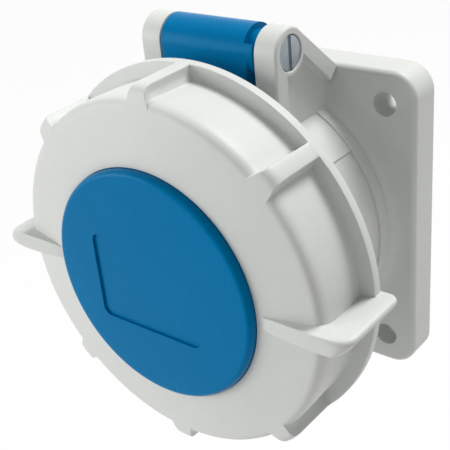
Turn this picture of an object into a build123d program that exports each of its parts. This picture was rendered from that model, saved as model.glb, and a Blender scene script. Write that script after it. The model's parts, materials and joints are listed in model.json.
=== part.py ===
from build123d import *
from math import acos, atan2, cos, hypot, radians, sin
import os

# Panel socket outlet, three poles, with a hinged lid and a bayonet locking ring. Millimetres.
# The origin is the centre of the flange's mounting face. +Z is up, the front faces -Y, and +X is on
# the right of someone who looks at the front. Angles on the front are counted from +X towards +Z.

os.makedirs("parts", exist_ok=True)

# Clearances
running_gap = 0.08
slip_gap = 0.2
turning_gap = 0.4
seal_gap = 0.1
merge = 0.6

# Flange
flange_size = 75.0
flange_thickness = 8.7
flange_corner_radius = 6.0
flange_edge_radius = 1.3
fixing_spacing = 60.0
fixing_hole_diameter = 5.5

# Collar on the flange
collar_bore_radius = 29.0
collar_wall = 2.7
collar_length = 47.0
collar_lip_radius = 0.6
collar_ridge_height = 0.4
collar_ridge_width = 3.3
collar_ridge_reach = 5.3
collar_foot_radius = 4.0
side_pad_depth = 0.35
side_pad_length = 9.5
side_pad_angle = 39.3
keyway_width = 6.0
keyway_depth = 1.2

# Bayonet between the collar and the locking ring
bayonet_ramp_height = 2.9
bayonet_ramp_width = 3.2
bayonet_ramp_setback = 0.8
bayonet_ramp_start = 22.0
bayonet_ramp_end = 62.0
bayonet_stop_angle = 4.0
bayonet_overlap = 1.5
bayonet_ring_gap = 3.6
bayonet_lug_length = 11.0
bayonet_lug_width = 3.0
bayonet_axial_gap = 1.0

# Hinge ears
hinge_setback = 21.4
hinge_rise = 7.4
ear_radius = 5.5
ear_web_thickness = 3.2
ear_rim_height = 2.3
ear_rim_width = 3.9
ear_brace_width = 3.65
ear_boss_wall = 1.02
ear_foot_drop = 0.2
ear_root_depth = 5.0

# Hinge pin, its clip and the lid spring
pin_radius = 2.0
pin_head_radius = 3.6
pin_head_thickness = 1.4
pin_head_gap = 0.28
pin_head_sink = 0.5
pin_slot_width = 1.0
pin_slot_depth = 0.8
pin_slot_tilt = 6.0
clip_width = 1.3
clip_thickness = 0.8
spring_wire_radius = 0.5
spring_turns = 6.0
spring_pitch = 1.3
spring_inner_gap = 0.3
spring_tang_length = 1.6

# Insert: contact carrier, terminal block and what holds them
insert_seat_depth = 8.0
insert_seat_width = 2.2
carrier_flange_thickness = 2.5
carrier_boss_radius = 22.3
carrier_boss_setback = 5.0
carrier_front_wall = 3.5
block_flange_thickness = 2.0
block_step = 4.2
block_depth = 20.0
terminal_setback = 3.0
retaining_ring_thickness = 1.4
retaining_ring_clearance = 1.9
retaining_groove_depth = 0.9
retaining_ring_gap_place = 90.0
retaining_ring_gap_angle = 24.0
contact_circle_radius = 15.0
line_angle = 150.0
neutral_angle = 30.0
earth_angle = 270.0
phase_pin_diameter = 6.0
earth_pin_diameter = 8.0
sleeve_bore_gap = 0.1
sleeve_wall = 1.3
sleeve_slot_width = 0.8
sleeve_slot_length = 12.0
sleeve_spring_width = 1.6
sleeve_spring_height = 0.5
sleeve_spring_setback = 2.5
entry_gap = 0.3
terminal_size = 10.0
wire_bore_diameter = 6.2
wire_bore_depth = 15.0
terminal_screw_radius = 2.0
terminal_screw_head_radius = 3.0
terminal_screw_head_height = 2.4
terminal_screw_reach = 0.1
terminal_screw_lift = 0.6
terminal_screw_setback = 8.0
insert_screw_radius = 1.75
insert_screw_head_radius = 3.1
insert_screw_head_height = 2.4
insert_screw_reach = 16.0
drive_slot_width = 0.9
drive_slot_depth = 0.9

# Seals
flange_seal_wall = 1.5
flange_seal_width = 2.2
flange_seal_thickness = 2.0
insert_seal_inset = 0.7
insert_seal_section = 0.9
lid_seal_inner_lap = 0.6
lid_seal_outer_lap = 1.0
lid_seal_seat = 1.2
cap_seal_inset = 2.3
cap_seal_section = 1.2

# Locking ring
ring_length = 19.1
ring_wall = 3.0
ring_rim_height = 3.35
ring_rim_width = 2.5
ring_wall_draft = 0.4
ring_face_fall = 0.95
ring_face_thickness = 3.0
ring_shoulder_radius = 5.0
ring_hub_gap = 0.5
ring_cap_gap = 0.25
ring_pocket_depth = 1.7
ring_rib_width = 4.0
ring_rib_step = 0.25
ring_rib_reach = 4.8
ring_rib_nose_radius = 4.0
rib_angles = (45.0, 90.0, 135.0, 225.0, 270.0, 315.0)
wing_reach = 4.65
wing_tip_lean = 1.0
wing_thickness = 4.4
wing_start_gap = 1.25
wing_rise_length = 4.4
wing_rise = 0.65
wing_tip_corner = 3.0
wing_rear_corner = 1.4
wing_edge_radius = 1.0
wing_root_depth = 2.4

# Lid
lid_standoff = 2.0
lid_plate_thickness = 3.0
lid_hub_radius = 23.7
barrel_length = 24.8
barrel_side_gap = 0.3
barrel_notch_length = 2.4
barrel_notch_step = 1.3
barrel_notch_start = 28.0
arm_thickness = 4.0
arm_collar_gap = 1.3
arm_half_angle = 18.5
arm_taper_drop = 4.9
arm_taper = 2.3
cap_overhang = 3.4
cap_rise = 2.0
cap_edge_radius = 1.5
label_width = 28.4
label_height = 21.0
label_depth = 0.5
label_corner_radius = 2.0
label_x = -1.0
label_z = -0.6
cap_screw_inset = 4.4
cap_screw_radius = 1.5
cap_screw_head_radius = 2.7
cap_screw_head_height = 1.3
cap_screw_bite = 2.2
cap_screw_count = 4
cap_screw_first_angle = 45.0

# Sizes that follow from those above: collar, lid and ring, from the collar's front edge forwards
collar_front_y = -collar_length
collar_radius = collar_bore_radius + collar_wall
collar_ridge_y = -flange_thickness - collar_ridge_reach
lid_plate_back_y = collar_front_y - lid_standoff
lid_plate_front_y = lid_plate_back_y - lid_plate_thickness
lid_seal_front_y = lid_plate_back_y - lid_seal_seat
lid_seal_inner_radius = collar_bore_radius - lid_seal_inner_lap
lid_seal_outer_radius = collar_radius + lid_seal_outer_lap
ring_face_back_y = lid_plate_front_y - slip_gap
ring_face_y = ring_face_back_y - ring_face_thickness
ring_rear_y = ring_face_y + ring_length
cap_back_y = ring_face_y + ring_pocket_depth - seal_gap
cap_front_y = ring_face_y - cap_rise

# Bayonet, and the ring round it
bayonet_ramp_radius = collar_radius + bayonet_ramp_height
bayonet_lug_radius = bayonet_ramp_radius - bayonet_overlap
bayonet_ramp_front_y = collar_front_y + bayonet_ramp_setback
bayonet_ramp_back_y = bayonet_ramp_front_y + bayonet_ramp_width
bayonet_lug_front_y = bayonet_ramp_back_y + bayonet_axial_gap
bayonet_lug_back_y = bayonet_lug_front_y + bayonet_lug_width
ring_inner_radius = bayonet_ramp_radius + bayonet_ring_gap
ring_wall_radius = ring_inner_radius + ring_wall
ring_edge_radius = ring_wall_radius - ring_wall_draft
ring_rim_radius = ring_wall_radius + ring_rim_height
ring_rib_radius = ring_rim_radius - ring_rib_step
ring_rib_root_radius = ring_edge_radius - ring_rib_reach
wing_tip_radius = ring_rim_radius + wing_reach
wing_rear_radius = wing_tip_radius - wing_tip_lean

# Lid plate, hub and cap
lid_plate_radius = ring_inner_radius - turning_gap
cap_radius = lid_hub_radius + cap_overhang
cap_seal_radius = lid_hub_radius - cap_seal_inset
cap_screw_circle_radius = cap_seal_radius - cap_screw_inset
ring_aperture_radius = lid_hub_radius + ring_hub_gap
ring_pocket_radius = cap_radius + ring_cap_gap
wing_start_radius = ring_pocket_radius + wing_start_gap
wing_rise_radius = wing_start_radius + wing_rise_length

# Hinge
hinge_y = collar_front_y + hinge_setback
hinge_z = flange_size / 2 + hinge_rise
arm_inner_radius = collar_radius + arm_collar_gap
arm_taper_low_z = hinge_z - arm_taper_drop
barrel_notch_radius = ear_radius - barrel_notch_step
ear_inner_x = barrel_length / 2 + barrel_side_gap
ear_thickness = ear_web_thickness + ear_rim_height
ear_outer_x = ear_inner_x + ear_thickness
ear_web_x = ear_inner_x + ear_web_thickness
ear_foot_z = flange_size / 2 - ear_foot_drop
ear_root_z = collar_bore_radius - ear_root_depth
pin_head_pocket_radius = pin_head_radius + pin_head_gap
pin_head_pocket_depth = pin_head_thickness + pin_head_sink
ear_boss_radius = pin_head_pocket_radius + ear_boss_wall
clip_radius = pin_radius + clip_width
spring_mean_radius = pin_radius + spring_inner_gap + spring_wire_radius
spring_length = spring_turns * spring_pitch

# Insert, its seat in the housing and its ring
insert_seat_y = -insert_seat_depth
insert_flange_radius = collar_bore_radius + insert_seat_width
insert_bore_radius = insert_flange_radius + slip_gap
insert_seal_inner_radius = collar_bore_radius + insert_seal_inset
carrier_back_y = insert_seat_y + carrier_flange_thickness
carrier_front_y = collar_front_y + carrier_boss_setback
sleeve_front_y = carrier_front_y + carrier_front_wall
block_radius = insert_flange_radius - block_step
block_front_y = carrier_back_y + seal_gap
block_flange_back_y = block_front_y + block_flange_thickness
terminal_back_y = block_depth - terminal_setback
terminal_screw_y = terminal_back_y - terminal_screw_setback
insert_screw_seat_y = block_depth - insert_screw_head_height
insert_screw_end_y = block_front_y - insert_screw_reach
retaining_ring_y = block_flange_back_y + seal_gap
retaining_ring_inner_radius = block_radius + retaining_ring_clearance
retaining_groove_radius = insert_bore_radius + retaining_groove_depth
flange_seal_inner_radius = retaining_groove_radius + flange_seal_wall


def front_plane(y):
    """A plane across the object at depth y, seen from the front, with its normal to the front."""
    return Plane(origin=(0, y, 0), x_dir=(1, 0, 0), z_dir=(0, -1, 0))


def from_front(sketch, back_y, front_y):
    """A sketch of the front view, made solid between two depths."""
    return extrude(front_plane(back_y) * sketch, amount=back_y - front_y)


def pattern(places, sketch):
    """Copies of a sketch, one at each place."""
    return Sketch() + [place * sketch for place in places]


def disc(radius, back_y, front_y):
    """A round plate or plug on the main axis."""
    return from_front(Circle(radius), back_y, front_y)


def tube(outer_radius, inner_radius, back_y, front_y):
    """A plain ring on the main axis."""
    return from_front(Circle(outer_radius) - Circle(inner_radius), back_y, front_y)


def turned(points, rounded=()):
    """A solid turned about the main axis from (radius, depth) points, with some corners rounded."""
    face = make_face(Polyline(*points, close=True))
    for index, radius in rounded:
        corner = Vector(*points[index])
        face = fillet(face.vertices().sort_by_distance(corner)[0], radius)
    return revolve(face, axis=Axis.Y)


def spun(shape, angle):
    """The shape turned on the main axis from +X to a front-view angle."""
    return Rot(0, -angle, 0) * shape


def sector(start_angle, end_angle, reach, back_y, front_y):
    """A wedge from the main axis between two front-view angles."""
    middle = (start_angle + end_angle) / 2
    long_reach = reach / cos(radians(end_angle - start_angle) / 2)
    corners = [(0, 0)]
    for angle in (start_angle, middle, end_angle):
        corners.append((long_reach * cos(radians(angle)), long_reach * sin(radians(angle))))
    return from_front(make_face(Polyline(*corners, close=True)), back_y, front_y)


def crossbar(radius, x_from, x_to):
    """A round bar along the hinge axis."""
    return extrude(Plane.YZ.offset(x_from) * Pos(hinge_y, hinge_z) * Circle(radius), amount=x_to - x_from)


def save(name, shape):
    """One STEP file for one node."""
    export_step(shape, f"parts/{name}.step")


def flange_plate():
    """The square flange with its rounded front edge and four fixing holes."""
    outline = RectangleRounded(flange_size, flange_size, flange_corner_radius)
    plate = from_front(outline, 0, -flange_thickness)
    plate = fillet(plate.faces().sort_by(Axis.Y)[0].edges(), flange_edge_radius)
    holes = pattern(GridLocations(fixing_spacing, fixing_spacing, 2, 2), Circle(fixing_hole_diameter / 2))
    return plate - from_front(holes, 0, -flange_thickness)


def collar_body():
    """The collar in front of the flange, with its ridge and a foot that runs into the flange."""
    ridge_radius = collar_radius + collar_ridge_height
    foot_y = collar_ridge_y + collar_ridge_width
    outline = [
        (collar_bore_radius, collar_front_y),
        (collar_radius, collar_front_y),
        (collar_radius, collar_ridge_y),
        (ridge_radius, collar_ridge_y),
        (ridge_radius, foot_y),
        (ridge_radius + collar_foot_radius, -flange_thickness),
        (ridge_radius + collar_foot_radius, -flange_thickness + merge),
        (collar_bore_radius, -flange_thickness + merge),
    ]
    return turned(outline, [(1, collar_lip_radius)])


def make_bayonet_ramps():
    """Two ramps on the collar, each with an end stop, behind which the ring's lugs turn."""
    reach = bayonet_ramp_radius + merge
    ramp_band = tube(bayonet_ramp_radius, collar_radius, bayonet_ramp_back_y, bayonet_ramp_front_y)
    stop_band = tube(bayonet_ramp_radius, collar_radius, bayonet_lug_back_y, bayonet_ramp_back_y)
    stop_end = -bayonet_ramp_end + bayonet_stop_angle
    ramp = ramp_band & sector(-bayonet_ramp_end, -bayonet_ramp_start, reach, 0, collar_front_y)
    stop = stop_band & sector(-bayonet_ramp_end, stop_end, reach, 0, collar_front_y)
    return Compound(children=[ramp, stop, spun(ramp, 180), spun(stop, 180)])


def ear_outline():
    """Side view of an ear: an upright front edge, a round top and a brace down to the flange."""
    foot = (-flange_thickness, ear_foot_z)
    to_foot = (foot[0] - hinge_y, foot[1] - hinge_z)
    tangent_angle = atan2(to_foot[1], to_foot[0]) + acos(ear_radius / hypot(*to_foot))
    tangent = (hinge_y + ear_radius * cos(tangent_angle), hinge_z + ear_radius * sin(tangent_angle))
    front_y = hinge_y - ear_radius
    inside_y = -flange_thickness + merge
    edges = [
        Line((front_y, ear_root_z), (front_y, hinge_z)),
        ThreePointArc((front_y, hinge_z), arc_point(front_y, tangent_angle), tangent),
        Polyline(tangent, foot, (inside_y, foot[1] - merge), (inside_y, ear_root_z), (front_y, ear_root_z)),
    ]
    return make_face(edges), tangent, foot


def arc_point(front_y, tangent_angle):
    """A point on the ear's round top, halfway between its front edge and its brace."""
    middle = (radians(180) + tangent_angle) / 2
    return (hinge_y + ear_radius * cos(middle), hinge_z + ear_radius * sin(middle))


def ear_pocket(tangent, foot):
    """Side view of the hollow between an ear's front rim, its boss and its brace."""
    length = hypot(foot[0] - tangent[0], foot[1] - tangent[1])
    along = ((foot[0] - tangent[0]) / length, (foot[1] - tangent[1]) / length)
    down = (along[1] * ear_brace_width, -along[0] * ear_brace_width)
    rim_y = hinge_y - ear_radius + ear_rim_width
    brace_top = (tangent[0] + down[0], tangent[1] + down[1])
    brace_foot = (foot[0] + down[0], foot[1] + down[1])
    past_flange_y = -flange_thickness + 2 * merge
    corners = [
        (rim_y, ear_root_z - merge),
        (rim_y, brace_top[1]),
        brace_top,
        brace_foot,
        foot,
        (past_flange_y, foot[1]),
        (past_flange_y, ear_root_z - merge),
    ]
    hollow = make_face(Polyline(*corners, close=True))
    return hollow - Pos(hinge_y, hinge_z) * Circle(ear_boss_radius)


def right_ear():
    """One ear: a flat web with a raised rim, brace and boss on its outer side."""
    outline, tangent, foot = ear_outline()
    ear = extrude(Plane.YZ.offset(ear_inner_x) * outline, amount=ear_thickness)
    hollow = extrude(Plane.YZ.offset(ear_web_x) * ear_pocket(tangent, foot), amount=ear_thickness)
    ear -= hollow
    ear -= crossbar(pin_radius + running_gap, ear_inner_x - merge, ear_outer_x + merge)
    return ear - crossbar(pin_head_pocket_radius, ear_outer_x - pin_head_pocket_depth, ear_outer_x + merge)


def make_flange_housing():
    """The main moulding: flange, collar and hinge ears."""
    ear = right_ear()
    body = flange_plate() + collar_body() + ear + mirror(ear, about=Plane.YZ)
    body -= spring_tang(spring_wire_radius + slip_gap / 2, spring_tang_length + slip_gap)
    body -= disc(collar_bore_radius, 0, collar_front_y)
    body -= disc(insert_bore_radius, 0, insert_seat_y)
    groove_back_y = retaining_ring_y + retaining_ring_thickness + seal_gap
    body -= disc(retaining_groove_radius, groove_back_y, block_flange_back_y)
    seal_outer_radius = flange_seal_inner_radius + flange_seal_width
    body -= tube(seal_outer_radius, flange_seal_inner_radius, 0, -flange_seal_thickness)
    pad_floor_radius = collar_radius - side_pad_depth
    pad_front_y = collar_ridge_y - side_pad_length
    pad_ring = tube(collar_radius + merge, pad_floor_radius, collar_ridge_y, pad_front_y)
    body -= pad_ring & sector(-side_pad_angle, side_pad_angle, collar_radius + merge, 0, collar_front_y)
    keyway = Pos(0, -collar_bore_radius) * Rectangle(keyway_width, 2 * keyway_depth)
    return body - from_front(keyway, insert_seat_y, collar_front_y)


def make_flange_gasket():
    """The round seal in the groove of the mounting face, inside the fixing holes."""
    outer_radius = flange_seal_inner_radius + flange_seal_width - seal_gap
    return tube(outer_radius, flange_seal_inner_radius + seal_gap, 0, -flange_seal_thickness)


def contact_places():
    """Each contact's front-view angle and the diameter of the pin that it takes."""
    return {
        "line_contact": (line_angle, phase_pin_diameter),
        "neutral_contact": (neutral_angle, phase_pin_diameter),
        "earth_contact": (earth_angle, earth_pin_diameter),
    }


def contact_point(angle):
    """The place of a contact's axis in the front view."""
    return Pos(contact_circle_radius * cos(radians(angle)), contact_circle_radius * sin(radians(angle)))


def sleeve_radius(pin_diameter):
    """Outer radius of a contact sleeve."""
    return pin_diameter / 2 + sleeve_bore_gap + sleeve_wall


def make_contact_carrier():
    """The front half of the insert: a boss with three pin entries, on a stepped flange."""
    body = disc(carrier_boss_radius, carrier_back_y, carrier_front_y)
    body += disc(insert_seal_inner_radius, carrier_back_y, insert_seat_y)
    body += disc(insert_flange_radius, carrier_back_y, insert_seat_y + insert_seal_section)
    for angle, pin_diameter in contact_places().values():
        entry = contact_point(angle) * Circle(pin_diameter / 2 + entry_gap)
        chamber = contact_point(angle) * Circle(sleeve_radius(pin_diameter) + sleeve_spring_height)
        body -= from_front(entry, sleeve_front_y, carrier_front_y)
        body -= from_front(chamber, carrier_back_y, sleeve_front_y)
    return body - disc(insert_screw_radius + seal_gap / 2, carrier_back_y, insert_screw_end_y)


def make_carrier_seal():
    """The seal on the step of the insert's flange, against its seat in the housing."""
    seal_back_y = insert_seat_y + insert_seal_section
    return tube(insert_flange_radius, insert_seal_inner_radius + seal_gap / 2, seal_back_y, insert_seat_y)


def terminal_sketch(gap):
    """Square section of a terminal, on +X."""
    return Pos(contact_circle_radius, 0) * Rectangle(terminal_size + 2 * gap, terminal_size + 2 * gap)


def radial_bar(radius, from_reach, to_reach):
    """A round bar that points outwards along +X at the depth of the terminal screws."""
    place = Plane(origin=(from_reach, terminal_screw_y, 0), z_dir=(1, 0, 0))
    return extrude(place * Circle(radius), amount=to_reach - from_reach)


def terminal_channel():
    """The channel of the terminal on +X, open at the block's back and side for its wire and its screw."""
    width = terminal_size + 2 * slip_gap
    inner_reach = contact_circle_radius - width / 2
    length = block_radius + merge - inner_reach
    outline = Pos(inner_reach + length / 2, 0) * Rectangle(length, width)
    return from_front(outline, block_depth, block_flange_back_y)


def make_terminal_block():
    """The rear half of the insert, with a channel behind each contact and the screw in its middle."""
    body = disc(block_radius, block_depth, block_front_y)
    body += disc(insert_flange_radius, block_flange_back_y, block_front_y)
    passage = from_front(terminal_sketch(slip_gap), block_flange_back_y, block_front_y)
    for angle, _ in contact_places().values():
        body -= spun(passage + terminal_channel(), angle)
    body -= disc(insert_screw_radius + slip_gap, block_depth, block_front_y)
    return body - disc(insert_screw_head_radius + slip_gap, block_depth, insert_screw_seat_y)


def make_contact(angle, pin_diameter):
    """A turned brass contact: a slotted sleeve in front and a square screw terminal behind."""
    outer_radius = sleeve_radius(pin_diameter)
    centre = Pos(contact_circle_radius, 0)
    body = from_front(terminal_sketch(0), terminal_back_y, block_front_y)
    body += from_front(centre * Circle(outer_radius), block_front_y, sleeve_front_y + slip_gap)
    bore = centre * Circle(pin_diameter / 2 + sleeve_bore_gap)
    body -= from_front(bore, block_front_y, sleeve_front_y)
    wire_bore = centre * Circle(wire_bore_diameter / 2)
    body -= from_front(wire_bore, terminal_back_y, terminal_back_y - wire_bore_depth)
    slot = centre * Rectangle(sleeve_slot_width, 3 * outer_radius)
    body -= from_front(slot, sleeve_front_y + sleeve_slot_length, sleeve_front_y)
    body -= radial_bar(terminal_screw_radius + seal_gap / 2, contact_circle_radius, block_radius)
    return spun(body, angle)


def make_contact_springs():
    """A steel ring round each sleeve, which presses its slotted end together."""
    rings = []
    ring_front_y = sleeve_front_y + sleeve_spring_setback
    for angle, pin_diameter in contact_places().values():
        inner = sleeve_radius(pin_diameter) + seal_gap / 2
        section = Circle(sleeve_radius(pin_diameter) + sleeve_spring_height - seal_gap / 2) - Circle(inner)
        outline = contact_point(angle) * section
        rings.append(from_front(outline, ring_front_y + sleeve_spring_width, ring_front_y))
    return Compound(children=rings)


def make_terminal_screws():
    """The clamping screws, which point at the wire bores from outside."""
    seat_reach = contact_circle_radius + terminal_size / 2 + terminal_screw_lift
    tip_reach = contact_circle_radius + wire_bore_diameter / 2 - terminal_screw_reach
    head_reach = seat_reach + terminal_screw_head_height
    screw = radial_bar(terminal_screw_radius, tip_reach, head_reach)
    screw += radial_bar(terminal_screw_head_radius, seat_reach, head_reach)
    slot = Box(2 * drive_slot_depth, 3 * terminal_screw_head_radius, drive_slot_width)
    screw -= Pos(head_reach, terminal_screw_y, 0) * slot
    return Compound(children=[spun(screw, angle) for angle, _ in contact_places().values()])


def make_insert_screw():
    """The long screw on the main axis, from behind, which pulls the terminal block to the carrier."""
    screw = disc(insert_screw_radius, insert_screw_seat_y, insert_screw_end_y + slip_gap)
    screw += disc(insert_screw_head_radius, block_depth, insert_screw_seat_y)
    slot = Rectangle(drive_slot_width, 3 * insert_screw_head_radius)
    return screw - from_front(slot, block_depth, block_depth - drive_slot_depth)


def make_retaining_ring():
    """The open spring ring that holds the insert in the flange."""
    outer_radius = retaining_groove_radius - seal_gap
    back_y = retaining_ring_y + retaining_ring_thickness
    ring = tube(outer_radius, retaining_ring_inner_radius, back_y, retaining_ring_y)
    gap_start = retaining_ring_gap_place - retaining_ring_gap_angle / 2
    gap_end = retaining_ring_gap_place + retaining_ring_gap_angle / 2
    return ring - sector(gap_start, gap_end, outer_radius + merge, back_y, retaining_ring_y)


def make_hinge_pin():
    """The hinge pin, with its slotted head in the right ear's pocket."""
    seat_x = ear_outer_x - pin_head_pocket_depth
    head_x = seat_x + pin_head_thickness
    pin = crossbar(pin_radius, -ear_outer_x + merge, seat_x)
    pin += crossbar(pin_head_radius, seat_x, head_x)
    slot = Box(2 * pin_slot_depth, pin_slot_width, 3 * pin_head_radius)
    return pin - Pos(head_x, hinge_y, hinge_z) * Rot(pin_slot_tilt, 0, 0) * slot


def make_pin_clip():
    """The push-on clip that keeps the pin in the left ear."""
    seat_x = -ear_outer_x + pin_head_pocket_depth
    clip = crossbar(clip_radius, seat_x - clip_thickness, seat_x)
    return clip - crossbar(pin_radius + seal_gap / 2, seat_x - clip_thickness, seat_x)


def spring_path():
    """The line of the spring's wire, a helix round the pin from the barrel's left end."""
    start = (-barrel_length / 2 + spring_wire_radius + slip_gap, hinge_y, hinge_z)
    return Helix(spring_pitch, spring_length, spring_mean_radius, center=start, direction=(1, 0, 0))


def spring_tang(radius, length):
    """The spring's straight end, which points along the hinge into the left ear."""
    return extrude(Plane(origin=spring_path() @ 0, z_dir=(-1, 0, 0)) * Circle(radius), amount=length)


def make_lid_spring():
    """The torsion spring round the pin in the barrel's left end, with its tang in the ear."""
    path = spring_path()
    coil = sweep(Plane(origin=path @ 0, z_dir=path % 0) * Circle(spring_wire_radius), path=path)
    return coil + spring_tang(spring_wire_radius, spring_tang_length)


def barrel():
    """The lid's hinge barrel, stepped down at its right end and hollow for the spring at its left."""
    half_length = barrel_length / 2
    notch_x = half_length - barrel_notch_length
    body = crossbar(ear_radius, -half_length, half_length)
    reach = 3 * ear_radius
    cut_angle = radians(180 - barrel_notch_start)
    corners = [
        (hinge_y, hinge_z),
        (hinge_y + reach * cos(cut_angle), hinge_z + reach * sin(cut_angle)),
        (hinge_y, hinge_z + reach),
        (hinge_y + reach, hinge_z),
    ]
    notch_side = make_face(Polyline(*corners, close=True))
    cut = extrude(Plane.YZ.offset(notch_x) * notch_side, amount=2 * barrel_notch_length)
    return body - (cut - crossbar(barrel_notch_radius, -half_length, half_length))


def arm():
    """The arm from the barrel down behind the ring's rim and forward to the lid plate."""
    front_y = hinge_y - ear_radius
    back_y = front_y + arm_thickness
    half_width = barrel_length / 2
    corners = [
        (-half_width, hinge_z),
        (half_width, hinge_z),
        (half_width - arm_taper, arm_taper_low_z),
        (half_width - arm_taper, arm_inner_radius),
        (-half_width + arm_taper, arm_inner_radius),
        (-half_width, arm_taper_low_z),
    ]
    upright = from_front(make_face(Polyline(*corners, close=True)), back_y, front_y)
    reach_band = tube(lid_plate_radius, arm_inner_radius, back_y, lid_plate_front_y)
    reach_band &= sector(90 - arm_half_angle, 90 + arm_half_angle, lid_plate_radius + merge, 0, ring_face_y)
    return upright + reach_band


def cap_screw_points():
    """The places of the cap's screws in the front view."""
    return PolarLocations(cap_screw_circle_radius, cap_screw_count, start_angle=cap_screw_first_angle)


def make_lid_body():
    """The blue lid under the locking ring: barrel, arm, plate and the hub that carries the cap."""
    body = barrel() + arm()
    body += disc(lid_plate_radius, lid_plate_back_y, lid_plate_front_y)
    body += disc(lid_hub_radius, lid_plate_front_y + merge, cap_back_y)
    half_length = barrel_length / 2
    body -= crossbar(pin_radius + running_gap, -half_length, half_length)
    chamber_radius = spring_mean_radius + spring_wire_radius + spring_inner_gap
    chamber_end = -half_length + spring_length + 2 * spring_wire_radius + 2 * slip_gap
    body -= crossbar(chamber_radius, -half_length, chamber_end)
    body -= tube(lid_seal_outer_radius, lid_seal_inner_radius, lid_plate_back_y, lid_seal_front_y)
    cap_seal_outer = cap_seal_radius + cap_seal_section / 2
    cap_seal_inner = cap_seal_radius - cap_seal_section / 2
    body -= tube(cap_seal_outer, cap_seal_inner, cap_back_y + cap_seal_section, cap_back_y)
    shanks = pattern(cap_screw_points(), Circle(cap_screw_radius + slip_gap))
    heads = pattern(cap_screw_points(), Circle(cap_screw_head_radius + slip_gap))
    body -= from_front(shanks, lid_plate_back_y, cap_back_y)
    return body - from_front(heads, lid_plate_back_y, lid_plate_back_y - cap_screw_head_height)


def make_lid_gasket():
    """The flat sealing ring in the lid, which meets the collar's front edge."""
    outer_radius = lid_seal_outer_radius - seal_gap
    inner_radius = lid_seal_inner_radius + seal_gap
    return tube(outer_radius, inner_radius, collar_front_y - seal_gap, lid_seal_front_y)


def make_lid_cap():
    """The round cap on the front, with a shallow bare field for a label."""
    cap = disc(cap_radius, cap_back_y, cap_front_y)
    cap = fillet(cap.faces().sort_by(Axis.Y)[0].edges(), cap_edge_radius)
    label = Pos(label_x, label_z) * RectangleRounded(label_width, label_height, label_corner_radius)
    cap -= from_front(label, cap_front_y + label_depth, cap_front_y)
    pilots = pattern(cap_screw_points(), Circle(cap_screw_radius + seal_gap / 2))
    return cap - from_front(pilots, cap_back_y, cap_back_y - cap_screw_bite - slip_gap)


def make_cap_seal():
    """The seal between the lid's hub and the cap."""
    outer = cap_seal_radius + cap_seal_section / 2 - seal_gap / 2
    inner = cap_seal_radius - cap_seal_section / 2 + seal_gap / 2
    return tube(outer, inner, cap_back_y + cap_seal_section, cap_back_y)


def make_cap_screws():
    """Four screws from inside the lid into the cap."""
    seat_y = lid_plate_back_y - cap_screw_head_height
    screw = from_front(Circle(cap_screw_radius), seat_y, cap_back_y - cap_screw_bite)
    screw += from_front(Circle(cap_screw_head_radius), lid_plate_back_y, seat_y)
    slot = Rectangle(drive_slot_width, 3 * cap_screw_head_radius)
    screw -= from_front(slot, lid_plate_back_y, lid_plate_back_y - drive_slot_depth)
    screws = []
    for place in cap_screw_points():
        screws.append(Pos(place.position.X, 0, place.position.Y) * screw)
    return Compound(children=screws)


def face_depth(radius):
    """Depth of the ring's front face, which falls back a little towards its edge."""
    share = (radius - ring_pocket_radius) / (ring_edge_radius - ring_pocket_radius)
    return ring_face_y + ring_face_fall * share


def ring_shell():
    """The turned form of the locking ring: rim, wall, shoulder, front face and cap pocket."""
    rim_front_y = ring_rear_y - ring_rim_width
    outline = [
        (ring_aperture_radius, ring_face_back_y),
        (ring_inner_radius, ring_face_back_y),
        (ring_inner_radius, ring_rear_y),
        (ring_rim_radius, ring_rear_y),
        (ring_rim_radius, rim_front_y),
        (ring_wall_radius, rim_front_y),
        (ring_edge_radius, face_depth(ring_edge_radius)),
        (ring_pocket_radius, ring_face_y),
        (ring_pocket_radius, ring_face_y + ring_pocket_depth),
        (ring_aperture_radius, ring_face_y + ring_pocket_depth),
    ]
    return turned(outline, [(6, ring_shoulder_radius)])


def ring_rib():
    """One rib on +X, flush with the rim, with a rounded nose that runs out on the front face."""
    rim_y = ring_rear_y - ring_rim_width / 2
    nose = (ring_rib_radius, face_depth(ring_rib_radius))
    inside_radius = ring_inner_radius + merge
    corners = [
        (inside_radius, rim_y),
        (ring_rib_radius, rim_y),
        nose,
        (ring_rib_root_radius, face_depth(ring_rib_root_radius)),
        (ring_rib_root_radius, ring_face_back_y - merge),
        (inside_radius, ring_face_back_y - merge),
    ]
    side = make_face(Polyline(*corners, close=True))
    side = fillet(side.vertices().sort_by_distance(Vector(*nose))[0], ring_rib_nose_radius)
    return extrude(side, amount=ring_rib_width / 2, both=True)


def ring_wing():
    """One wing on +X: a flat grip that rises from the face near the cap and reaches past the rim."""
    front_y = ring_face_y - wing_rise
    inside_radius = ring_inner_radius + merge
    root_y = ring_face_y + wing_root_depth
    tip = (wing_tip_radius, front_y)
    rear = (wing_rear_radius, ring_rear_y)
    corners = [
        (wing_start_radius, root_y),
        (wing_start_radius, face_depth(wing_start_radius)),
        (wing_rise_radius, front_y),
        tip,
        rear,
        (inside_radius, ring_rear_y),
        (inside_radius, root_y),
    ]
    top = make_face(Polyline(*corners, close=True))
    top = fillet(top.vertices().sort_by_distance(Vector(*tip))[0], wing_tip_corner)
    top = fillet(top.vertices().sort_by_distance(Vector(*rear))[0], wing_rear_corner)
    wing = extrude(top, amount=wing_thickness / 2, both=True)
    rounded = wing.edges().filter_by(lambda edge: wing_grip_edge(edge))
    return fillet(rounded, wing_edge_radius)


def wing_grip_edge(edge):
    """True for the long edges of the wing's front and outer sides."""
    middle = edge.position_at(0.5)
    on_side = abs(abs(middle.Z) - wing_thickness / 2) < seal_gap
    in_front = abs(middle.Y - (ring_face_y - wing_rise)) < seal_gap
    outside = middle.X > wing_rear_radius - wing_rear_corner and middle.Y < ring_rear_y - seal_gap
    return on_side and (in_front or outside)


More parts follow.
